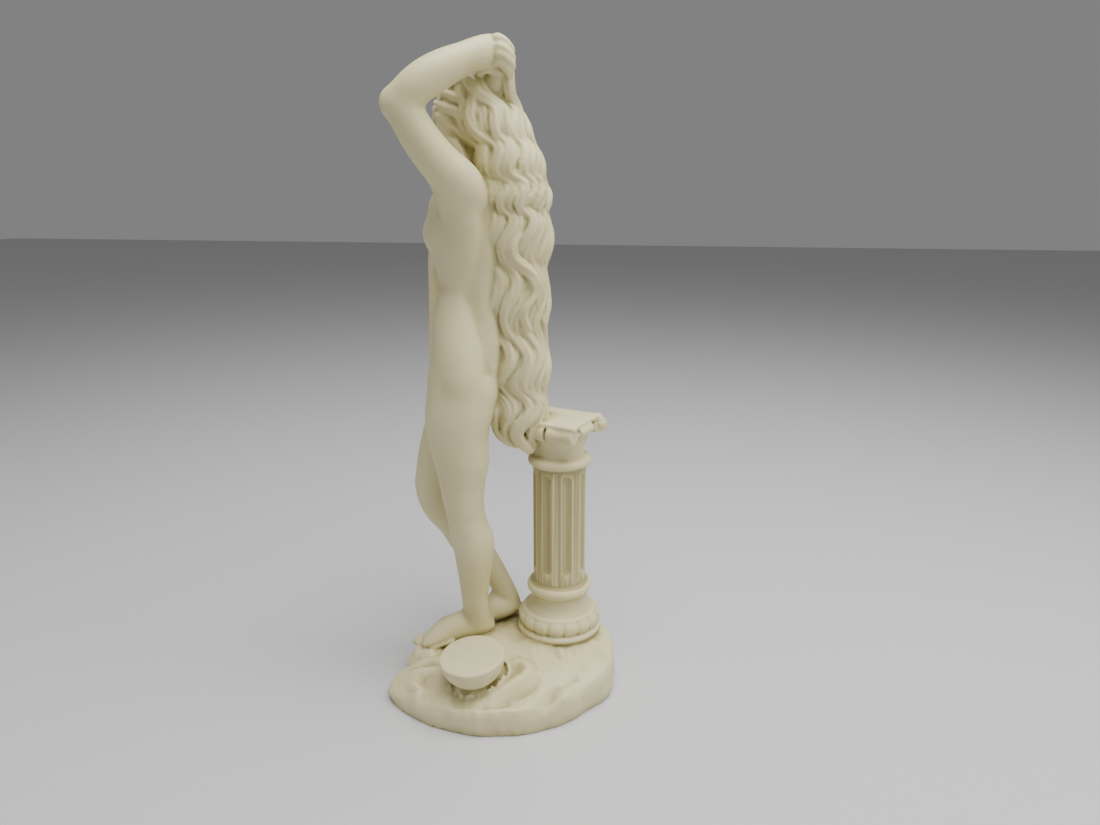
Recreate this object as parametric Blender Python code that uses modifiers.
"""A cold-cast figurine of a bathing goddess.

The figure, her hair, a short column, a bowl and the rock under them are one casting.

Metres, +Z up. She faces -Y, her left hand side is +X, and the origin is on the underside of the rock.
The figure is laid out as a carver would, on a scale of 240 parts to her height.
"""

import math

import bmesh
import bpy
import numpy as np
from mathutils import Matrix, Vector, noise

# Driving sizes
FIGURE_HEIGHT = 0.240
FIGURE_PARTS = 240.0
ROCK_LENGTH = 0.0996
ROCK_WIDTH = 0.0762
ROCK_TOP = 0.020
ROCK_BELOW = 0.004
COLUMN_HEIGHT = 0.1009
SHAFT_RADIUS = 0.0118
ABACUS_SIDE = 0.0284
ABACUS_THICKNESS = 0.0022
ABACUS_HOLLOW = 0.0010
ROLL_RADIUS = 0.0037
SMALL_ROLL_RADIUS = 0.0020
SCROLL_RADIUS = 0.0031
FLUTES = 8
FLUTE_WIDTH = 0.0042
FLUTE_DEPTH = 0.0010
LEAVES = 16
LEAF_DEPTH = 0.0013
COLUMN_SUNK = 0.006
BOWL_RADIUS = 0.0138
FOAM_SPIKE_HEIGHT = 0.0023

# Places on the rock
FIGURE_PLACE = Vector((-0.0150, -0.0150, ROCK_TOP))
COLUMN_PLACE = Vector((-0.0218, 0.0215))
COLUMN_TURN = math.radians(-18.3)
BOWL_PLACE = Vector((0.0241, -0.0079, 0.0285))
BOWL_LEAN = (math.radians(4.0), math.radians(6.0))

# The flutes' ends, as shares of the column's height
FLUTE_START = 0.307
FLUTE_END = 0.758

# The rock is laid out below on a scale of its own, of so many parts to its width and its length
ROCK_PARTS_WIDE = 76.2
ROCK_PARTS_LONG = 99.6

# Fineness of the finished solid
BODY_VOXEL = 0.0011
CAST_VOXEL = 0.0010
BODY_SMOOTHING = 28
CAST_SMOOTHING = 1
TRIANGLES = 9600
SIDES = 12
SHAFT_SIDES = 96

# Colour and roughness of the marble resin
RESIN_COLOUR = (0.80, 0.76, 0.62, 1.0)
RESIN_ROUGHNESS = 0.42

PART = FIGURE_HEIGHT / FIGURE_PARTS
MM = 0.001

# Rows: height, left, back, half width, half depth, turn in degrees
TORSO = [
    (104, 3.0, -2.0, 13.0, 10.0, 8),
    (112, 4.0, -2.6, 19.5, 13.0, 8),
    (122, 4.2, -2.8, 21.6, 14.0, 8),
    (133, 3.5, -2.8, 20.6, 13.4, 8),
    (142, 2.3, -3.2, 18.4, 12.8, 9),
    (150, 1.2, -2.8, 16.2, 11.8, 10),
    (157.5, 0.3, -2.0, 14.9, 11.0, 11),
    (165, 0.0, -2.6, 15.6, 12.2, 12),
    (172, 0.0, -3.4, 17.0, 13.2, 14),
    (180, 0.0, -3.0, 18.2, 13.0, 15),
    (188, 0.0, -2.2, 18.8, 12.0, 15),
    (195, 0.0, -0.4, 18.2, 9.6, 15),
    (201, 0.0, 0.4, 13.0, 8.0, 14),
    (206, 0.0, 0.0, 8.4, 6.8, 12),
    (212, 0.0, -0.6, 6.5, 6.3, 10),
    (220, 0.0, -1.2, 6.2, 6.2, 8),
]
# Swellings. Rows: left, back, height, then the three half sizes
SWELLINGS = [
    (7.4, -10.7, 179.2, 7.2, 7.0, 9.0),
    (8.0, -8.4, 188.0, 6.4, 6.4, 9.4),
    (12.6, -6.0, 183.0, 5.0, 6.2, 11.0),
    (-7.0, -12.2, 178.0, 7.4, 6.8, 10.4),
    (-6.2, -10.4, 187.6, 6.6, 6.8, 9.6),
    (11.0, 4.6, 116.0, 10.8, 9.0, 12.0),
    (-6.6, 3.4, 116.0, 10.8, 9.2, 12.0),
    (2.4, -9.6, 140.0, 10.0, 6.6, 13.0),
    (9.4, 4.4, 46.0, 6.0, 6.0, 11.0),
    (-11.2, -5.4, 42.0, 6.4, 6.2, 9.0),
    (10.6, -8.6, 67.5, 5.0, 4.2, 5.6),
    (-10.7, -27.4, 65.4, 5.6, 5.2, 6.2),
    (32.2, -17.6, 226.4, 6.2, 6.4, 6.6),
    (-19.6, -5.6, 193.4, 7.8, 7.6, 7.4),
    (30.8, -13.8, 222.4, 6.6, 6.8, 6.0),
    (8.6, 1.6, 15.0, 4.6, 5.4, 4.6),
]
# Rows: left, back, height, half width, half depth
LEFT_LEG = [
    (10.8, -2.8, 124.0, 12.6, 13.4),
    (12.0, -2.4, 111.4, 13.0, 14.6),
    (12.5, -3.9, 102.8, 13.0, 14.2),
    (12.0, -3.9, 93.8, 12.2, 13.0),
    (11.5, -3.0, 84.7, 11.2, 12.2),
    (11.0, -3.1, 75.4, 9.8, 10.4),
    (10.5, -2.9, 66.0, 9.0, 9.1),
    (10.0, -2.1, 58.8, 8.4, 8.5),
    (9.5, -1.0, 51.6, 8.6, 9.0),
    (9.0, 0.2, 44.3, 8.6, 8.9),
    (8.5, 0.5, 36.8, 7.6, 8.6),
    (8.2, 0.4, 26.8, 6.0, 7.3),
    (8.0, 0.3, 16.7, 5.2, 6.3),
    (7.6, 1.0, 10.0, 5.2, 6.2),
    (7.0, 1.8, 4.0, 5.0, 5.6),
]
RIGHT_LEG = [
    (-7.5, -3.0, 122.0, 11.6, 13.0),
    (-10.5, -9.2, 104.0, 12.2, 13.2),
    (-11.0, -14.8, 90.0, 11.6, 12.2),
    (-11.0, -18.6, 80.0, 10.8, 11.2),
    (-11.0, -21.6, 70.0, 9.8, 10.0),
    (-10.9, -22.6, 61.5, 9.0, 9.4),
    (-10.9, -19.6, 53.4, 8.4, 9.2),
    (-11.0, -13.6, 46.4, 8.2, 8.4),
    (-11.2, -8.0, 37.8, 8.0, 8.8),
    (-11.0, -1.8, 30.2, 7.0, 7.6),
    (-10.4, 4.8, 22.0, 5.4, 6.2),
    (-9.8, 9.2, 15.6, 4.7, 5.4),
    (-9.3, 12.4, 10.0, 4.5, 5.0),
    (-9.0, 13.8, 6.5, 4.4, 4.8),
]
LEFT_UPPER_ARM = [
    (12.0, 2.0, 191.0, 8.0, 9.0),
    (19.0, 2.2, 197.8, 8.6, 9.2),
    (23.6, -3.9, 205.4, 7.9, 8.2),
    (27.2, -9.6, 213.5, 7.4, 7.6),
    (30.4, -13.8, 221.8, 6.9, 7.1),
    (32.4, -16.2, 227.4, 6.0, 6.4),
]
LEFT_SIDE = [
    (20.6, -1.0, 200.5, 7.6, 8.8),
    (18.2, 0.6, 192.0, 6.6, 8.6),
    (15.8, 1.4, 183.0, 5.4, 8.0),
    (13.6, 1.6, 173.0, 4.4, 7.2),
    (11.8, 1.2, 162.0, 3.8, 6.6),
    (11.0, 0.6, 150.0, 3.6, 6.4),
]
LEFT_BACK = [
    (10.0, 6.0, 194.0, 6.0, 8.0),
    (9.6, 6.6, 180.0, 6.2, 8.6),
    (8.8, 6.4, 164.0, 6.0, 8.6),
    (8.8, 6.2, 150.0, 6.0, 8.4),
    (9.6, 6.8, 136.0, 6.4, 8.4),
    (9.0, 7.0, 122.0, 6.0, 7.6),
]
LEFT_FOREARM = [
    (32.4, -15.4, 228.0, 5.8, 6.2),
    (30.8, -10.8, 231.8, 6.9, 7.0),
    (28.0, -5.6, 235.8, 7.2, 7.2),
    (24.4, -0.2, 239.4, 6.8, 6.7),
    (20.2, 5.0, 242.4, 6.0, 6.0),
    (16.4, 9.4, 244.6, 5.5, 6.2),
    (13.0, 13.0, 245.4, 5.2, 6.8),
    (10.4, 15.6, 245.6, 4.8, 6.4),
]
RIGHT_ARM = [
    (-13.0, -3.6, 193.0, 8.0, 8.0),
    (-20.0, -6.0, 193.5, 7.8, 7.8),
    (-22.8, -12.4, 186.0, 7.0, 7.4),
    (-24.6, -17.8, 176.5, 6.6, 6.9),
    (-26.0, -20.5, 167.0, 6.1, 6.3),
    (-26.4, -21.3, 160.5, 5.9, 6.0),
    (-25.2, -21.2, 151.5, 5.9, 5.7),
    (-22.2, -21.4, 140.5, 5.3, 5.0),
    (-18.2, -21.8, 130.0, 4.3, 3.7),
    (-15.0, -21.4, 123.6, 4.2, 3.2),
    (-11.8, -20.6, 117.6, 4.6, 2.9),
    (-9.0, -19.4, 112.4, 4.4, 2.5),
    (-6.8, -18.6, 107.6, 3.6, 2.0),
]
# The head in its own frame, whose middle is its origin
HEAD_PLACE = Vector((0.3, -1.8, 226.2))
HEAD_TURN = math.radians(6.0)
HEAD_BOW = math.radians(9.0)
HEAD_BLOCKS = [
    (0.0, 2.2, 2.6, 10.4, 12.2, 11.0),
    (0.0, -3.4, -3.2, 8.0, 8.2, 11.2),
    (0.0, -3.6, -9.0, 6.6, 7.0, 5.6),
    (0.0, -8.4, -12.8, 3.2, 3.0, 2.8),
]
NOSE = [(0.0, -10.6, 1.6, 1.0, 1.1), (0.0, -11.7, -2.0, 1.1, 1.3), (0.0, -12.9, -4.7, 1.4, 1.3)]
# Eggs of the palm of the raised hand and of the far ankle
PALM = [(12.0, 15.4, 245.0, 4.6, 5.0, 5.6), (13.2, 13.4, 242.4, 3.6, 4.0, 3.6)]
FAR_ANKLE = (-9.2, 8.6, 8.6, 4.6, 7.0, 6.6)
# Rows: distance from the heel, half width, half height, rise above the sole
FOOT = [
    (0.0, 4.1, 3.9, 4.2),
    (4.0, 5.4, 5.2, 5.6),
    (9.4, 5.6, 6.4, 7.0),
    (15.0, 5.8, 6.2, 6.9),
    (21.0, 6.2, 5.1, 5.5),
    (25.6, 6.4, 3.9, 4.2),
    (28.6, 5.8, 2.8, 3.0),
]
# Rows: heel, direction and pitch, and the side of the big toe
FEET = [
    ((4.5, 6.0, -1.0), math.radians(21), math.radians(8), -1),
    ((-8.0, 15.7, 2.2), math.radians(15), math.radians(18), 1),
]
TOES = 5
TOE_LENGTH = 34.0
# Rows: left, back, height, half width, half depth
FIRST_FINGER = [
    (11.6, 9.6, 246.4, 1.8, 1.8),
    (13.6, 13.2, 248.4, 1.9, 1.9),
    (14.2, 16.0, 249.7, 2.1, 2.1),
    (13.8, 18.4, 249.0, 1.8, 1.8),
    (12.6, 20.0, 247.4, 1.7, 1.7),
    (10.6, 20.6, 246.2, 1.6, 1.6),
    (8.8, 19.8, 245.2, 1.5, 1.5),
]
# How far each finger lies from the first
FINGER_STEPS = [(0.0, 0.0, 0.0), (1.0, 0.5, -2.9), (1.2, 0.5, -5.4), (0.6, -0.6, -7.7)]
FINGERS = 4
THUMB = [
    (13.0, 9.6, 241.0, 1.8, 2.0),
    (12.6, 12.6, 239.6, 1.8, 1.8),
    (11.6, 15.4, 239.0, 1.7, 1.7),
    (10.4, 17.6, 238.6, 1.4, 1.4),
]

# The plan of the hair. Rows: height, left, back, half width, half depth
HAIR_PLAN = [
    (241.0, 1.5, 3.5, 3.0, 3.5),
    (238.0, 1.0, 3.0, 8.0, 9.0),
    (231.5, 0.0, 3.8, 12.0, 13.0),
    (222.0, -0.5, 7.2, 13.8, 14.8),
    (212.0, -1.4, 11.6, 14.6, 14.6),
    (203.0, -2.4, 15.2, 15.2, 13.7),
    (190.0, -3.2, 16.8, 15.4, 13.6),
    (170.0, -3.8, 17.6, 15.0, 12.8),
    (150.0, -4.0, 17.6, 14.6, 10.4),
    (130.0, -4.0, 18.8, 14.0, 10.8),
    (110.0, -4.0, 19.6, 12.8, 9.4),
    (84.0, -4.0, 20.4, 11.0, 7.8),
]
HAIR_CORE = 0.86
HAIR_SQUARENESS = 2.7
ROUND_ABOVE = 225.0
SQUARE_BELOW = 200.0
# Heights at which every lock swings towards the back
WAVE_CRESTS = [241, 226, 211, 197, 185, 161, 130, 108, 86]
# Rows: height, swing to the side, lift away from the head
WAVE_SIZES = [(245, 0.6, 0.3), (225, 1.4, 0.5), (200, 1.9, 0.7), (170, 2.5, 0.9), (85, 2.5, 0.9)]
LOCK_HALF_WIDTH = 2.5
LOCK_HALF_DEPTH = 2.1
LOCK_STEP = 1.8
HANGING_LOCKS = 15
HANGING_ANGLES = (-90.0, 106.0)
TEMPLE_LOCKS = 5
CROWN_TO_TIPS = [241.0, 238.0, 230.0, 220.0, 208.0, 190.0, 165.0, 140.0, 118.0]
LIFTED = [
    (3.0, 12.0, 237.0),
    (6.4, 16.4, 239.8),
    (8.6, 18.4, 239.6),
    (8.0, 18.9, 236.0),
    (5.0, 20.0, 230.0),
    (2.0, 21.0, 223.0),
]
# The lock that crosses the others to the back edge: height, angle from straight back, spread
CROSSING = [
    (186, 76, 0.9),
    (171, 74, 1.08),
    (163, 60, 1.09),
    (151, 18, 1.02),
    (133, -12, 1.05),
    (104, 6, 1.0),
]
HAIR_FILL = [
    (6.4, 12.0, 235.6, 4.8, 6.6, 5.6),
    (8.4, 14.2, 237.6, 3.4, 4.2, 4.6),
    (6.8, -3.4, 222.0, 4.2, 11.0, 13.6),
    (7.0, 4.0, 208.5, 4.0, 6.6, 7.4),
]

# The rock's rim. Rows: direction in degrees, reach and height in millimetres
ROCK_RIM = [
    (-180, 38, 20),
    (-150, 41, 19),
    (-120, 44, 16),
    (-100, 44.4, 12),
    (-88, 44, 8.5),
    (-80, 46.4, 6.5),
    (-72, 51, 6),
    (-62, 50, 6),
    (-51, 46.5, 7),
    (-38, 43.5, 8),
    (-20, 40.5, 9),
    (0, 38.5, 10),
    (20, 38.2, 10.5),
    (40, 39.2, 11),
    (58, 41.5, 12),
    (72, 43.5, 13),
    (88, 48.5, 15),
    (106, 49.8, 17),
    (123, 50, 19),
    (140, 48, 20),
    (160, 41, 20),
    (180, 38, 20),
]
ROCK_FALL = 2.2
# Worn lines. Rows: place, rise and half width, in millimetres; a minus rise is pressed in
FLOW_LINES = [
    [
        (36.6, -6.0, 0.3, 2.2), (31.2, 0.8, 1.1, 2.4), (27.0, 5.6, 1.8, 2.6), (22.9, 10.5, 2.6, 2.8),
        (19.2, 13.8, 2.9, 2.8), (15.6, 14.0, 2.9, 2.6), (12.6, 11.0, 2.6, 2.4), (13.2, 8.0, 1.8, 2.0),
    ],
    [
        (36.4, -20.0, 0.3, 2.2), (38.6, -8.0, 1.1, 2.4), (37.6, 3.0, 1.5, 2.6),
        (35.6, 12.0, 1.3, 2.6), (32.4, 19.0, 0.5, 2.2),
    ],
    [
        (27.4, 31.0, 0.8, 2.0), (23.4, 31.6, 1.4, 2.2), (19.0, 34.0, 1.2, 2.0),
        (13.6, 37.2, 0.7, 1.8), (8.0, 38.0, 0.1, 1.6),
    ],
    [(24.6, 37.8, 0.5, 1.5), (19.4, 41.0, 1.0, 1.8), (13.9, 44.2, 0.8, 1.8), (8.6, 46.0, 0.1, 1.5)],
    [
        (16.4, -41.0, 0.6, 1.7), (16.4, -34.0, 1.2, 1.9),
        (17.8, -27.0, 1.1, 1.9), (21.0, -21.0, 0.2, 1.6),
    ],
    [(8.4, -40.6, 0.9, 1.7), (8.8, -34.4, 1.4, 1.9), (9.8, -27.0, 1.0, 1.8), (12.4, -21.0, 0.1, 1.5)],
    [
        (22.6, -37.6, 0.6, 1.0), (24.4, -34.2, 1.6, 1.2), (26.8, -31.2, 1.8, 1.3),
        (28.8, -31.6, 1.6, 1.1), (28.2, -33.4, 1.2, 0.9),
    ],
    [
        (17.2, 30.9, -0.3, 1.6), (21.3, 27.3, -1.6, 1.9), (25.7, 25.6, -2.6, 2.2),
        (30.2, 23.4, -2.4, 2.4), (34.6, 18.8, -1.2, 2.2),
    ],
    [
        (36.4, -1.0, -0.4, 1.8), (33.4, 5.6, -1.4, 2.0), (28.6, 11.2, -2.0, 2.0),
        (24.0, 17.0, -1.8, 2.0), (19.0, 19.4, -0.6, 1.8),
    ],
    [
        (29.6, 34.0, -0.8, 1.3), (25.4, 34.6, -1.4, 1.3), (21.4, 37.4, -1.4, 1.3),
        (16.7, 40.6, -1.0, 1.3), (11.5, 42.6, -0.2, 1.2),
    ],
    [(13.0, -38.4, -0.6, 1.4), (12.8, -31.0, -1.0, 1.4), (14.4, -24.0, -0.4, 1.5)],
]
# Lumps on the rock. Rows: middle, three half sizes, turn in degrees
LUMPS = [
    (0.6, -33.0, 8.6, 9.4, 11.4, 8.4, 20),
    (-14, -18, 12, 16, 18, 8.6, 20),
    (-28, 0, 13, 12, 14, 8.4, 0),
    (14, -39.4, 5, 9, 7, 5.0, 30),
    (22.0, -6.6, 12.6, 9.6, 10.6, 5.6, 0),
    (1.8, 13.7, 18.6, 2.0, 1.6, 1.6, 0),
    (-0.4, 25.9, 18.4, 1.8, 1.4, 1.4, 0),
]
FOAM_LINE = [
    (27.6, -18.0, 0.2),
    (31.6, -9.0, 0.5),
    (29.8, -1.4, 0.5),
    (25.0, 4.4, 0.6),
    (18.6, 6.6, 1.0),
    (14.0, 4.6, 1.4),
]
FOAM_SPIKES = 12


def part_point(left, back, height):
    """A point of the figure's own scale, in metres."""
    return FIGURE_PLACE + Vector((left, back, height)) * PART


def curve_row(rows, at):
    """The row at a place along the rows, on a smooth curve through all of them."""
    last = len(rows) - 1
    i = min(int(at), last - 1)
    t = at - i
    a, b, c, d = (rows[max(0, min(last, k))] for k in (i - 1, i, i + 1, i + 2))
    return [
        0.5 * (2 * q + (r - p) * t + (2 * p - 5 * q + 4 * r - s) * t**2 + (3 * q - p - 3 * r + s) * t**3)
        for p, q, r, s in zip(a, b, c, d)
    ]


def smooth_rows(rows, steps):
    """The rows with more between them, on a smooth curve."""
    count = (len(rows) - 1) * steps
    return [curve_row(rows, k / steps) for k in range(count)] + [list(rows[-1])]


def row_at_height(rows, height):
    """A table that is ordered by its first column, read at any height."""
    rising = rows if rows[0][0] < rows[-1][0] else rows[::-1]
    if height <= rising[0][0]:
        return list(rising[0])
    for i in range(len(rising) - 1):
        low, high = rising[i][0], rising[i + 1][0]
        if height <= high:
            return curve_row(rising, i + (height - low) / (high - low))
    return list(rising[-1])


def pour(bm, piece):
    """Adds a small mesh to a larger one, and frees it."""
    mesh = bpy.data.meshes.new("piece")
    piece.to_mesh(mesh)
    piece.free()
    bm.from_mesh(mesh)
    bpy.data.meshes.remove(mesh)


def sweep(bm, places, sides=SIDES):
    """A closed solid through the places, each a matrix that carries the unit circle to a section."""
    piece = bmesh.new()
    ring = bmesh.ops.create_circle(piece, cap_ends=True, segments=sides, radius=1.0)
    face = ring["verts"][0].link_faces[0]
    corners = [v.co.copy() for v in face.verts]
    for v, corner in zip(face.verts, corners):
        v.co = places[0] @ corner
    for place in places[1:]:
        face = bmesh.ops.extrude_discrete_faces(piece, faces=[face])["faces"][0]
        for v, corner in zip(face.verts, corners):
            v.co = place @ corner
    bmesh.ops.holes_fill(piece, edges=[e for e in piece.edges if e.is_boundary], sides=0)
    bmesh.ops.recalc_face_normals(piece, faces=piece.faces)
    pour(bm, piece)


def section(centre, across, along, half_width, half_depth):
    """The matrix of one section: across gives its width's direction, along the way that the form runs."""
    along = along.normalized()
    across = (across - across.project(along)).normalized()
    deep = along.cross(across)
    turn = Matrix((across, deep, along)).transposed().to_4x4()
    return Matrix.Translation(centre) @ turn @ Matrix.Diagonal((half_width, half_depth, 1.0, 1.0))


def ball(bm, row, turn=0.0):
    """An egg-shaped swelling: left, back, height and three half sizes, in parts."""
    place = Matrix.Translation(part_point(*row[:3])) @ Matrix.Rotation(turn, 4, "Z")
    size = Matrix.Diagonal((row[3] * PART, row[4] * PART, row[5] * PART, 1.0))
    piece = bmesh.new()
    bmesh.ops.create_uvsphere(piece, u_segments=16, v_segments=10, radius=1.0, matrix=place @ size)
    pour(bm, piece)


def limb(bm, rows, across=(1.0, 0.0, 0.0), steps=3, sides=SIDES):
    """A limb through rows of left, back, height, half width and half depth, with round ends."""
    rows = smooth_rows(rows, steps)
    points = [part_point(*row[:3]) for row in rows]
    places = []
    for k, row in enumerate(rows):
        along = points[min(k + 1, len(rows) - 1)] - points[max(k - 1, 0)]
        places.append(section(points[k], Vector(across), along, row[3] * PART, row[4] * PART))
    sweep(bm, places, sides)
    for row in (rows[0], rows[-1]):
        ball(bm, (*row[:3], row[3] * 0.96, row[4] * 0.96, min(row[3], row[4]) * 0.9))


def torso(bm):
    """The trunk, as level sections."""
    places = []
    for height, left, back, half_width, half_depth, turn in smooth_rows(TORSO, 3):
        place = Matrix.Translation(part_point(left, back, height))
        turned_round = Matrix.Rotation(math.radians(turn), 4, "Z")
        size = Matrix.Diagonal((half_width * PART, half_depth * PART, 1.0, 1.0))
        places.append(place @ turned_round @ size)
    sweep(bm, places, 20)
    for row in SWELLINGS:
        ball(bm, row)


def head_point(x, y, z):
    """A point of the head's own frame, in the figure's scale."""
    turn = Matrix.Rotation(HEAD_TURN, 3, "Z") @ Matrix.Rotation(HEAD_BOW, 3, "X")
    return HEAD_PLACE + turn @ Vector((x, y, z))


def head_ball(bm, row):
    """An egg in the head's own frame."""
    ball(bm, (*head_point(*row[:3]), *row[3:]), HEAD_TURN)


def foot_frame(heel, direction, pitch):
    """The matrix that carries a foot to its place, and the direction across it."""
    turn = Matrix.Rotation(direction, 4, "Z")
    place = Matrix.Translation(Vector(heel)) @ turn @ Matrix.Rotation(pitch, 4, "X")
    return place, turn @ Vector((1.0, 0.0, 0.0))


def body(bm):
    """Everything that blends softly: trunk, limbs, head, palm and feet."""
    torso(bm)
    for rows in (LEFT_LEG, RIGHT_LEG, LEFT_SIDE, LEFT_BACK, LEFT_UPPER_ARM, LEFT_FOREARM, RIGHT_ARM):
        limb(bm, rows)
    for row in HEAD_BLOCKS:
        head_ball(bm, row)
    for row in PALM:
        ball(bm, row)
    for heel, direction, pitch, _ in FEET:
        place, across = foot_frame(heel, direction, pitch)
        rows = [(*(place @ Vector((0.0, -run, rise))), w, h) for run, w, h, rise in FOOT]
        limb(bm, rows, across=across)
    ball(bm, FAR_ANKLE)


def nose(bm):
    """The nose, which stays crisper than the rest of the face."""
    limb(bm, [(*head_point(x, y, z), w, d) for x, y, z, w, d in NOSE], steps=2, sides=8)


def left_hand(bm):
    """The fist on the lifted lock."""
    for x, y, z in FINGER_STEPS:
        limb(bm, [(a + x, b + y, c + z, w, d) for a, b, c, w, d in FIRST_FINGER], steps=2, sides=8)
    limb(bm, THUMB, steps=2, sides=8)


def right_hand(bm):
    """Four fingers laid together, and a thumb."""
    for finger in range(FINGERS):
        x = -10.4 + 1.9 * finger
        y = -20.0 + 0.3 * finger
        z = 112.4 + 1.1 * finger
        limb(bm, [
            (x, y, z, 1.25, 1.4),
            (x + 2.0, y - 0.1, z - 5.0, 1.15, 1.25),
            (x + 3.6, y + 1.2, z - 9.0, 1.05, 1.1),
            (x + 4.4, y + 2.4, z - 11.2, 0.9, 0.9),
        ], steps=2, sides=8)
    limb(bm, [
        (-11.0, -21.6, 119.6, 1.5, 1.6),
        (-7.6, -22.0, 116.0, 1.3, 1.4),
        (-5.0, -21.4, 112.8, 1.1, 1.1),
    ], steps=2, sides=8)


def toes(bm, heel, direction, pitch, inner):
    """Five toes; inner is the side of the big toe, 1 for +X."""
    place, across = foot_frame(heel, direction, pitch)
    for toe in range(TOES):
        side = inner * (3.9 - 2.1 * toe + (0.3 if toe == 0 else 0.0))
        thick = 1.95 if toe == 0 else 1.45
        reach = TOE_LENGTH - 1.1 * toe - 0.35 * toe**1.5
        rows = []
        for short, rise, size in ((9.0, 3.0, 1.2), (4.0, 2.3, 1.0), (1.2, 1.7, 1.12), (0.0, 1.4, 0.9)):
            joint = place @ Vector((side, short - reach, rise))
            rows.append((*joint, thick * size, thick * size))
        limb(bm, rows, across=across, steps=2, sides=8)


def hands_and_toes(bm):
    """The fingers of both hands, and all the toes."""
    left_hand(bm)
    right_hand(bm)
    for heel, direction, pitch, inner in FEET:
        toes(bm, heel, direction, pitch, inner)


def drawn_out(value, power):
    """A sine or cosine drawn out towards a square plan."""
    return math.copysign(abs(value) ** (2.0 / power), value)


def hair_point(height, angle, spread=1.0):
    """A point of the hair at a height, at an angle in degrees from straight back."""
    _, left, back, half_width, half_depth = row_at_height(HAIR_PLAN, height)
    share = max(0.0, min(1.0, (ROUND_ABOVE - height) / (ROUND_ABOVE - SQUARE_BELOW)))
    power = 2.0 + (HAIR_SQUARENESS - 2.0) * share
    return Vector((
        left + spread * half_width * drawn_out(math.sin(math.radians(angle)), power),
        back + spread * half_depth * drawn_out(math.cos(math.radians(angle)), power),
        height,
    ))


def hair_core(bm):
    """The solid mass under the locks."""
    places = []
    for height in range(239, 104, -3):
        _, left, back, half_width, half_depth = row_at_height(HAIR_PLAN, height)
        size = Matrix.Diagonal((half_width * HAIR_CORE * PART, half_depth * HAIR_CORE * PART, 1.0, 1.0))
        places.append(Matrix.Translation(part_point(left, back, height)) @ size)
    sweep(bm, places, 20)


def wave_turns(height):
    """How many waves the hair has made from the crown down to a height."""
    for k in range(len(WAVE_CRESTS) - 1):
        if height >= WAVE_CRESTS[k + 1] or k == len(WAVE_CRESTS) - 2:
            return k + (WAVE_CRESTS[k] - height) / (WAVE_CRESTS[k] - WAVE_CRESTS[k + 1])


def evenly_along(points, step):
    """Points at an even step along a smooth curve through the given ones."""
    rows = smooth_rows([tuple(p) for p in points], 16)
    out = [Vector(rows[0])]
    for row in rows[1:]:
        if (Vector(row) - out[-1]).length >= step:
            out.append(Vector(row))
    return out


def away_from_middle(point):
    """The direction that faces away from the middle of the head or of the hair."""
    _, left, back, _, _ = row_at_height(HAIR_PLAN, point.z)
    return Vector((point.x - left, point.y - back, max(0.0, point.z - 226.0))).normalized()


def temple_start(side, order):
    """Where a temple lock leaves the parting, crosses the temple and passes over the ear."""
    return [
        Vector((side * 0.8, -10.5 + 4.2 * order, 236.0 + 1.2 * order)),
        Vector((side * (8.0 + 0.4 * order), -9.0 + 4.4 * order, 231.5 + 1.6 * order)),
        Vector((side * (11.4 + 0.3 * order), -2.0 + 3.6 * order, 222.0 + 3.0 * order)),
        Vector((side * (13.4 + 0.4 * order), 5.4 + 2.0 * order, 212.0 + 2.4 * order)),
    ]


def lock(bm, points, width=1.0, shift=0.0):
    """One wavy lock that follows the points; shift moves its waves by a share of one."""
    points = evenly_along(points, LOCK_STEP)
    last = len(points) - 1
    line = []
    for k, point in enumerate(points):
        along = (points[min(k + 1, last)] - points[max(k - 1, 0)]).normalized()
        outward = away_from_middle(point)
        outward = (outward - outward.project(along)).normalized()
        turn = math.tau * (wave_turns(point.z) + shift)
        _, swing, lift = row_at_height(WAVE_SIZES, point.z)
        steep = min(1.0, abs(along.z) * 1.2)
        centre = point - along.cross(outward) * (swing * steep * math.cos(turn))
        line.append((centre + outward * (lift * steep * math.sin(turn)), outward))
    places = []
    for k, (centre, outward) in enumerate(line):
        share = k / last
        full = min(1.0, 0.5 + 4.0 * share) * (1.0 - 0.5 * max(0.0, share - 0.86) / 0.14)
        along = line[min(k + 1, last)][0] - line[max(k - 1, 0)][0]
        half_width = LOCK_HALF_WIDTH * width * full
        half_depth = LOCK_HALF_DEPTH * full
        across = along.cross(outward)
        places.append(section(part_point(*centre), across, along, half_width * PART, half_depth * PART))
    sweep(bm, places, 8)
    ball(bm, (*line[-1][0], half_width * 0.9, half_width * 0.9, half_width))


def hair(bm):
    """The core, the hanging locks, those of the temples, the crossing one and the lifted one."""
    hair_core(bm)
    for row in HAIR_FILL:
        ball(bm, row)
    first, final = HANGING_ANGLES
    for k in range(HANGING_LOCKS):
        angle = first + (final - first) * k / (HANGING_LOCKS - 1)
        low = 95.0 + 7.0 * math.sin(2.3 * k)
        points = []
        for height in CROWN_TO_TIPS + [low]:
            points.append(hair_point(height, angle + 3.0 * math.sin(height / 17.0 + 2.0 * k)))
        lock(bm, points, 1.0, 0.06 * math.sin(3.0 * k))
    for side in (-1, 1):
        for order in range(TEMPLE_LOCKS):
            angle = side * (148.0 - 12.0 * order)
            low = 100.0 + 9.0 * math.sin(1.7 * order)
            tail = [hair_point(height, angle) for height in (200.0, 188.0, 170.0, 150.0, 130.0, low)]
            lock(bm, temple_start(side, order) + tail, 1.0, 0.06 * order)
    lock(bm, [hair_point(*row) for row in CROSSING], 1.2)
    tail = [hair_point(height, -8.0, 0.99) for height in (214, 197, 180, 160, 146)]
    lock(bm, [Vector(row) for row in LIFTED] + tail, 1.05)


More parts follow.
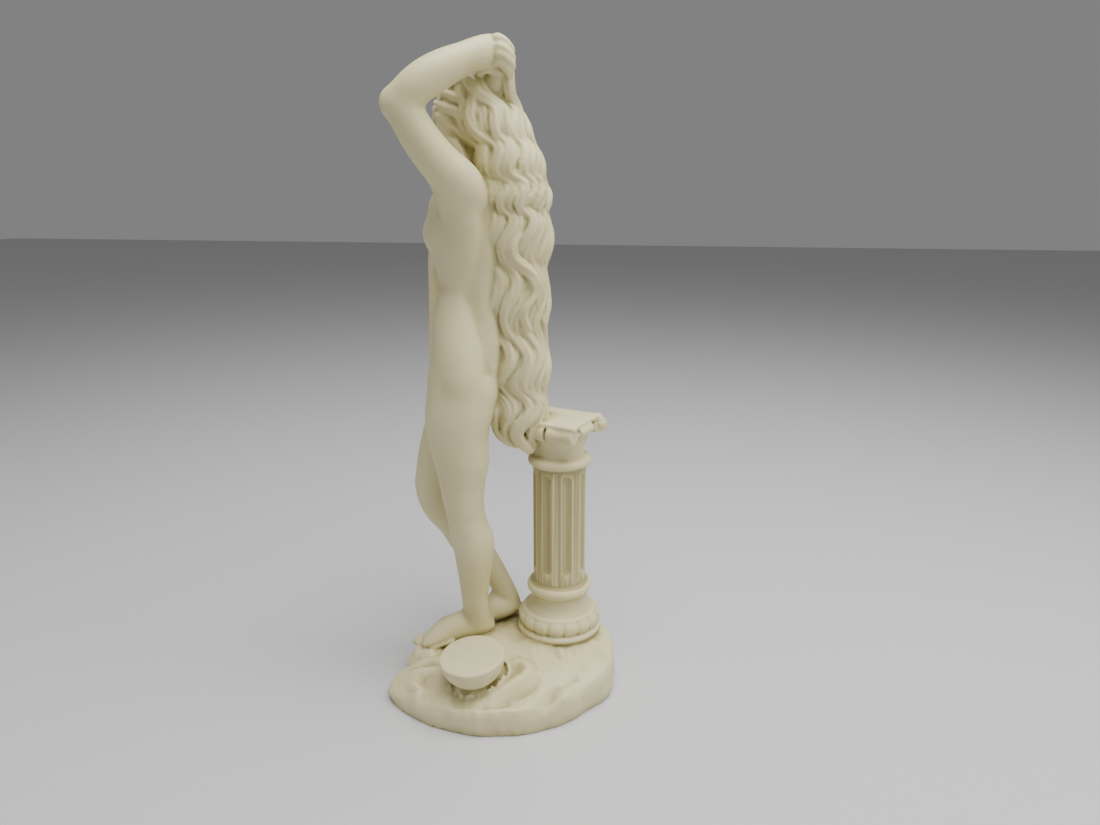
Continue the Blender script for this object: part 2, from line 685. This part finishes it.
def rim_at(direction):
    """The rock's reach and height in metres in one direction, in degrees."""
    _, reach, height = row_at_height(ROCK_RIM, direction)
    return reach * MM, height * MM


def flow_rise(xs, ys):
    """How far the worn lines raise or press the top at many places, all in millimetres."""
    highest, lowest = np.zeros_like(xs), np.zeros_like(xs)
    for line in FLOW_LINES:
        rows = smooth_rows(line, 4)
        for (ax, ay, rise, wide), (bx, by, next_rise, next_wide) in zip(rows, rows[1:]):
            way_x, way_y = bx - ax, by - ay
            share = np.clip(((xs - ax) * way_x + (ys - ay) * way_y) / (way_x**2 + way_y**2), 0.0, 1.0)
            aside = np.hypot(xs - ax - way_x * share, ys - ay - way_y * share)
            half = wide + (next_wide - wide) * share
            bell = (rise + (next_rise - rise) * share) * np.exp(-((aside / half) ** 2))
            highest, lowest = np.maximum(highest, bell), np.minimum(lowest, bell)
    return highest + lowest


def rock_surface(x, y, share, rim):
    """The height of the rock's top at a place before the worn lines, in metres."""
    level = ROCK_TOP - (ROCK_TOP - rim) * share**ROCK_FALL
    flow = Vector((x * 34.0 + y * 22.0, y * 60.0 - x * 38.0, 2.0))
    ripple = 0.0010 * noise.noise(flow) + 0.0006 * noise.noise(flow * 2.3)
    ripple += 0.0003 * noise.noise(flow * 6.0)
    return level + ripple * min(1.0, 0.4 + share)


def rock_height(x, y):
    """The height of the worn slab at a place, all three in millimetres."""
    reach, rim = rim_at(math.degrees(math.atan2(y, x)))
    share = min(1.0, math.hypot(x, y) * MM / reach)
    rise = float(flow_rise(np.array([x]), np.array([y]))[0])
    return rock_surface(x * MM, y * MM, share, rim) / MM + rise


def slab(bm):
    """The slab, which reaches below the ground until it is cut flat."""
    piece = bmesh.new()
    made = bmesh.ops.create_uvsphere(piece, u_segments=150, v_segments=70, radius=1.0)["verts"]
    depths, shares, rims = [v.co.z for v in made], [], []
    for v in made:
        x, y, z = v.co
        share = min(1.0, math.hypot(x, y))
        angle = math.atan2(y, x)
        reach, rim = rim_at(math.degrees(angle))
        rough = Vector((math.cos(angle) * 3.4, math.sin(angle) * 3.4, z * 1.6))
        reach *= 1.0 + share * (0.018 * noise.noise(rough) + 0.012 * noise.noise(rough * 2.7))
        reach *= 1.0 + share * 0.006 * noise.noise(rough * 7.0)
        v.co.x, v.co.y = share * reach * math.cos(angle), share * reach * math.sin(angle)
        shares.append(share)
        rims.append(rim)
    worn = flow_rise(np.array([v.co.x for v in made]) / MM, np.array([v.co.y for v in made]) / MM) * MM
    for v, z, share, rim, rise in zip(made, depths, shares, rims, worn):
        if z > 0:
            shoulder = 0.5 + 0.5 * min(1.0, z / 0.24) ** 0.5
            v.co.z = (rock_surface(v.co.x, v.co.y, share, rim) + rise) * shoulder
        else:
            v.co.z = rim * 0.5 + (-ROCK_BELOW - rim * 0.5) * min(1.0, -z / 0.35)
    wider, longer = ROCK_WIDTH / (ROCK_PARTS_WIDE * MM), ROCK_LENGTH / (ROCK_PARTS_LONG * MM)
    size = Matrix.Diagonal((wider, longer, 1.0, 1.0))
    bmesh.ops.transform(piece, matrix=size, verts=piece.verts)
    pour(bm, piece)


def lump(bm, row):
    """A lump of the rock."""
    x, y, z, a, b, c, turn = row
    piece = bmesh.new()
    made = bmesh.ops.create_icosphere(piece, subdivisions=3, radius=1.0)
    place = Matrix.Translation(Vector((x, y, z)) * MM) @ Matrix.Rotation(math.radians(turn), 4, "Z")
    size = Matrix.Diagonal((a * MM, b * MM, c * MM, 1.0))
    for v in made["verts"]:
        worn = 1.0 + 0.16 * noise.noise(v.co * 1.7 + Vector((x, y, z)))
        worn += 0.05 * noise.noise(v.co * 4.6 + Vector((x, y, z)))
        v.co = place @ size @ (v.co * worn)
    pour(bm, piece)


def rock_rope(bm, rows, sides=8):
    """A bar of changing thickness, through rows in millimetres."""
    points = [Vector(row[:3]) * MM for row in rows]
    places = []
    for k, row in enumerate(rows):
        along = points[min(k + 1, len(rows) - 1)] - points[max(k - 1, 0)]
        places.append(section(points[k], along.cross(Vector((0, 0, 1))), along, row[3] * MM, row[4] * MM))
    sweep(bm, places, sides)


def foam(bm):
    """Small curved spikes along the wave, between it and the bowl."""
    for k in range(FOAM_SPIKES):
        x, y, rise = curve_row(FOAM_LINE, k / (FOAM_SPIKES - 1) * (len(FOAM_LINE) - 1))
        lean = Vector((0.5 * math.sin(5.0 * k) - 0.3, 0.5 * math.cos(3.0 * k), 0.9))
        tall = FOAM_SPIKE_HEIGHT / MM * (1.0 + 0.3 * math.sin(7.0 * k))
        base = Vector((x, y, rock_height(x, y) + rise - 0.8))
        rows = []
        for share in (0.0, 0.35, 0.7, 1.0):
            bend = Vector((0.0, 0.8 * math.sin(2.0 * k) * share**2, 0.0))
            size = 0.85 * (1.0 - share) ** 0.7 + 0.26
            rows.append((*(base + lean * tall * share + bend), size, size))
        rock_rope(bm, rows)


def rock(bm):
    """The slab with all that stands on it."""
    slab(bm)
    for row in LUMPS:
        lump(bm, row)
    foam(bm)


def up(share):
    """The height of a place on the column that is given as a share of the column's height."""
    return ROCK_TOP + share * COLUMN_HEIGHT


def ring_rows(outer, middle, half, count=13):
    """Rows of radius and height for a rounded ring."""
    rows = []
    for k in range(count):
        angle = math.pi * (k / (count - 1) - 0.5)
        rows.append((outer - half + half * math.cos(angle), middle + half * math.sin(angle)))
    return rows


def turned(bm, profile, reshape=None):
    """A turned solid on the column's axis, from rows of radius and height."""
    piece = bmesh.new()
    outline = [(0.0, profile[0][1]), *profile, (0.0, profile[-1][1])]
    corners = [piece.verts.new((radius, 0.0, height)) for radius, height in outline]
    edges = [piece.edges.new(pair) for pair in zip(corners, corners[1:])]
    once_round = {"angle": math.tau, "steps": SHAFT_SIDES, "use_merge": True}
    bmesh.ops.spin(piece, geom=corners + edges, cent=(0, 0, 0), axis=(0, 0, 1), **once_round)
    bmesh.ops.remove_doubles(piece, verts=piece.verts, dist=0.000001)
    bmesh.ops.recalc_face_normals(piece, faces=piece.faces)
    bmesh.ops.translate(piece, verts=piece.verts, vec=(*COLUMN_PLACE, 0.0))
    for v in piece.verts if reshape else ():
        v.co = reshape(v.co)
    pour(bm, piece)


def around_axis(point):
    """A point's direction and distance from the column's axis."""
    x, y = point.x - COLUMN_PLACE.x, point.y - COLUMN_PLACE.y
    return math.atan2(y, x) - COLUMN_TURN, math.hypot(x, y)


def pressed_in(point, amount):
    """The point moved towards the column's axis by an amount."""
    _, distance = around_axis(point)
    share = 1.0 - amount / distance if distance > amount else 1.0
    x, y = point.x - COLUMN_PLACE.x, point.y - COLUMN_PLACE.y
    return Vector((COLUMN_PLACE.x + x * share, COLUMN_PLACE.y + y * share, point.z))


def aside_from_repeat(angle, count):
    """How far a direction is from the nearest of so many even ones."""
    step = math.tau / count
    return (angle + step / 2) % step - step / 2


def fluted(point):
    """A flute is a groove with round ends, as deep as a bead pressed into the shaft."""
    angle, distance = around_axis(point)
    aside = aside_from_repeat(angle, FLUTES) * distance
    low, high = up(FLUTE_START) + FLUTE_WIDTH / 2, up(FLUTE_END) - FLUTE_WIDTH / 2
    beyond = max(low - point.z, 0.0, point.z - high)
    reach = math.hypot(aside, beyond) / (FLUTE_WIDTH / 2)
    return pressed_in(point, FLUTE_DEPTH * max(0.0, 1.0 - reach**2) ** 0.8)


def leafed(point):
    """A groove between each two leaves."""
    angle, distance = around_axis(point)
    aside = abs(aside_from_repeat(angle, LEAVES)) / (math.pi / LEAVES)
    return pressed_in(point, LEAF_DEPTH * aside**5) if distance > SHAFT_RADIUS * 1.2 else point


def column(bm):
    """The plinth ring, the ring of leaves, the hollow neck with its ring, the shaft and the collar."""
    r = SHAFT_RADIUS
    plinth = [(r * 1.5, ROCK_TOP - COLUMN_SUNK)] + ring_rows(r * 1.64, up(0.014), 0.0014)
    turned(bm, plinth)
    leaves = ring_rows(r * 1.60, up(0.061), 0.0036)
    turned(bm, [(r, up(0.026))] + leaves + [(r, up(0.097))], leafed)
    turned(bm, [(r, up(0.085))] + ring_rows(r * 1.44, up(0.096), 0.0009) + [(r, up(0.107))])
    neck = [(r * 1.36, up(0.099)), (r * 1.22, up(0.113)), (r * 1.10, up(0.144)), (r * 1.07, up(0.188))]
    turned(bm, smooth_rows(neck, 5))
    turned(bm, [(r, up(0.178))] + ring_rows(r * 1.25, up(0.210), 0.0026) + [(r, up(0.244))])
    rows = 44
    low, high = up(0.228), up(0.793)
    turned(bm, [(r, low + (high - low) * k / rows) for k in range(rows + 1)], fluted)
    turned(bm, [(r * 0.9, up(0.783))] + ring_rows(r * 1.19, up(0.809), 0.0021) + [(r * 0.9, up(0.834))])
    throat = [(r * 0.95, up(0.823)), (r * 0.92, up(0.852)), (r * 0.96, up(0.887)), (r * 1.06, up(0.912))]
    turned(bm, smooth_rows(throat, 4) + [(r * 1.06, up(0.961))])


def abacus(bm, place, top):
    """The slab, its sides hollowed and its edges rounded."""
    piece = bmesh.new()
    size = Matrix.Diagonal((ABACUS_SIDE, ABACUS_SIDE, ABACUS_THICKNESS, 1.0))
    bmesh.ops.create_cube(piece, size=1.0, matrix=size)
    edges = [e for e in piece.edges if abs((e.verts[0].co - e.verts[1].co).z) < ABACUS_THICKNESS / 2]
    bmesh.ops.subdivide_edges(piece, edges=edges, cuts=11, use_grid_fill=True)
    half = ABACUS_SIDE / 2
    for v in piece.verts:
        x, y = v.co.x / half, v.co.y / half
        v.co.x -= ABACUS_HOLLOW * x * (1.0 - y * y)
        v.co.y -= ABACUS_HOLLOW * y * (1.0 - x * x)
    rim = [e for e in piece.edges if e.calc_face_angle(0.0) > math.radians(60)]
    bmesh.ops.bevel(piece, geom=rim, offset=0.0007, segments=3, affect="EDGES", profile=0.5, material=-1)
    lifted = Matrix.Translation((0, 0, top - ABACUS_THICKNESS / 2))
    bmesh.ops.transform(piece, matrix=place @ lifted, verts=piece.verts)
    pour(bm, piece)


def roll(bm, place, centre, axis, half_length, radius, waist=0.84):
    """A short roll with a waist, its axis level."""
    places = []
    for k in range(17):
        share = k / 8 - 1
        size = radius * (waist + (1 - waist) * abs(share) ** 1.6) * (0.95 if abs(share) == 1 else 1.0)
        middle = centre + axis * half_length * share
        places.append(place @ section(middle, Vector((0, 0, 1)), axis, size, size))
    sweep(bm, places, 16)


def scroll(bm, place, centre, axis):
    """A round scroll with a raised rim and eye, facing along an axis."""
    for radius, half in ((SCROLL_RADIUS, 0.0019), (SCROLL_RADIUS * 0.45, 0.0027)):
        places = []
        for share, size in ((-1, 0.86), (-0.8, 1.0), (0.8, 1.0), (1, 0.86)):
            middle = centre + axis * half * share
            places.append(place @ section(middle, Vector((0, 0, 1)), axis, radius * size, radius * size))
        sweep(bm, places, 16)


def capital(bm):
    """The slab, its rolls and its corner scrolls."""
    top = ROCK_TOP + COLUMN_HEIGHT
    under = top - ABACUS_THICKNESS
    place = Matrix.Translation(Vector((*COLUMN_PLACE, 0.0))) @ Matrix.Rotation(COLUMN_TURN, 4, "Z")
    abacus(bm, place, top)
    half = ABACUS_SIDE / 2
    for side in (1, -1):
        for end in (1, -1):
            centre = Vector((side * (half - 0.0026), end * half * 0.49, under - ROLL_RADIUS + 0.0011))
            roll(bm, place, centre, Vector((0, 1, 0)), half * 0.44, ROLL_RADIUS)
            if side < 0:
                low = under - SCROLL_RADIUS + 0.0006
                corner = Vector((side * (half - 0.0012), end * (half - 0.0008), low))
                scroll(bm, place, corner, Vector((1.0, 1.0 * end, 0.0)).normalized())
    for end in (1, -1):
        small = Vector((half * 0.11, end * (half - 0.0012), under - 0.0018))
        roll(bm, place, small, Vector((1, 0, 0)), half * 0.40, SMALL_ROLL_RADIUS, 0.95)
    size = Matrix.Diagonal((half * 1.5, half * 1.6, 0.0046, 1.0))
    block = Matrix.Translation((0, 0, under - 0.0018)) @ size
    piece = bmesh.new()
    bmesh.ops.create_cube(piece, size=1.0, matrix=place @ block)
    pour(bm, piece)


def bowl(bm):
    """A half ball with a softly rounded brim."""
    lean = Matrix.Rotation(BOWL_LEAN[0], 4, "X") @ Matrix.Rotation(BOWL_LEAN[1], 4, "Y")
    rim = Matrix.Translation(BOWL_PLACE) @ lean
    places = []
    for k in range(24):
        angle = math.pi / 2 * k / 23
        radius = BOWL_RADIUS * max(math.sin(angle), 0.06)
        drop = Matrix.Translation((0, 0, -BOWL_RADIUS * math.cos(angle) * 0.97 - 0.0004))
        places.append(rim @ drop @ Matrix.Diagonal((radius, radius, 1, 1)))
    places.append(rim @ Matrix.Diagonal((BOWL_RADIUS * 0.97, BOWL_RADIUS * 0.97, 1, 1)))
    sweep(bm, places, 32)


def finished(obj):
    """The object with its modifiers made part of its mesh."""
    graph = bpy.context.evaluated_depsgraph_get()
    mesh = bpy.data.meshes.new_from_object(obj.evaluated_get(graph))
    obj.modifiers.clear()
    old = obj.data
    obj.data = mesh
    bpy.data.meshes.remove(old)
    return obj


def fused(name, bm, voxel, smoothing, collection):
    """One even skin over all the closed forms in a mesh, with its creases softened."""
    mesh = bpy.data.meshes.new(name)
    bm.to_mesh(mesh)
    bm.free()
    obj = bpy.data.objects.new(name, mesh)
    collection.objects.link(obj)
    remesh = obj.modifiers.new("Fuse", "REMESH")
    remesh.mode = "VOXEL"
    remesh.voxel_size = voxel
    smooth = obj.modifiers.new("Soften", "SMOOTH")
    smooth.factor = 0.5
    smooth.iterations = smoothing
    return finished(obj)


def keep_largest(bm):
    """Removes every loose shell but the one with the most corners."""
    left = set(bm.verts)
    shells = []
    while left:
        shell = {left.pop()}
        front = list(shell)
        while front:
            v = front.pop()
            for edge in v.link_edges:
                other = edge.other_vert(v)
                if other in left:
                    left.discard(other)
                    shell.add(other)
                    front.append(other)
        shells.append(shell)
    shells.sort(key=len, reverse=True)
    for shell in shells[1:]:
        bmesh.ops.delete(bm, geom=list(shell), context="VERTS")


def thinned(statue):
    """The statue with fewer and larger faces, cut flat at the ground and closed there."""
    bm = bmesh.new()
    bm.from_mesh(statue.data)
    keep_largest(bm)
    bm.to_mesh(statue.data)
    triangles = sum(len(f.verts) - 2 for f in bm.faces)
    bm.free()
    thin = statue.modifiers.new("Thin", "DECIMATE")
    thin.ratio = TRIANGLES / triangles
    thin.use_collapse_triangulate = True
    finished(statue)
    bm = bmesh.new()
    bm.from_mesh(statue.data)
    geometry = bm.verts[:] + bm.edges[:] + bm.faces[:]
    bmesh.ops.bisect_plane(bm, geom=geometry, plane_co=(0, 0, 0), plane_no=(0, 0, 1), clear_inner=True)
    bmesh.ops.holes_fill(bm, edges=[e for e in bm.edges if e.is_boundary], sides=0)
    bmesh.ops.triangulate(bm, faces=bm.faces)
    bmesh.ops.recalc_face_normals(bm, faces=bm.faces)
    bm.to_mesh(statue.data)
    bm.free()


def marble_resin():
    """The casting's one material."""
    material = bpy.data.materials.new("marble_resin")
    material.use_nodes = True
    shader = material.node_tree.nodes["Principled BSDF"]
    shader.inputs["Base Color"].default_value = RESIN_COLOUR
    shader.inputs["Roughness"].default_value = RESIN_ROUGHNESS
    return material


def main():
    for obj in list(bpy.data.objects):
        bpy.data.objects.remove(obj)
    collection = bpy.data.collections.new("aphrodite_statue")
    bpy.context.scene.collection.children.link(collection)
    forms = bmesh.new()
    body(forms)
    soft_body = fused("soft_body", forms, BODY_VOXEL, BODY_SMOOTHING, collection)
    forms = bmesh.new()
    forms.from_mesh(soft_body.data)
    bpy.data.objects.remove(soft_body)
    for make in (nose, hands_and_toes, hair, rock, column, capital, bowl):
        make(forms)
    statue = fused("aphrodite_statue", forms, CAST_VOXEL, CAST_SMOOTHING, collection)
    thinned(statue)
    statue.data.materials.append(marble_resin())


main()
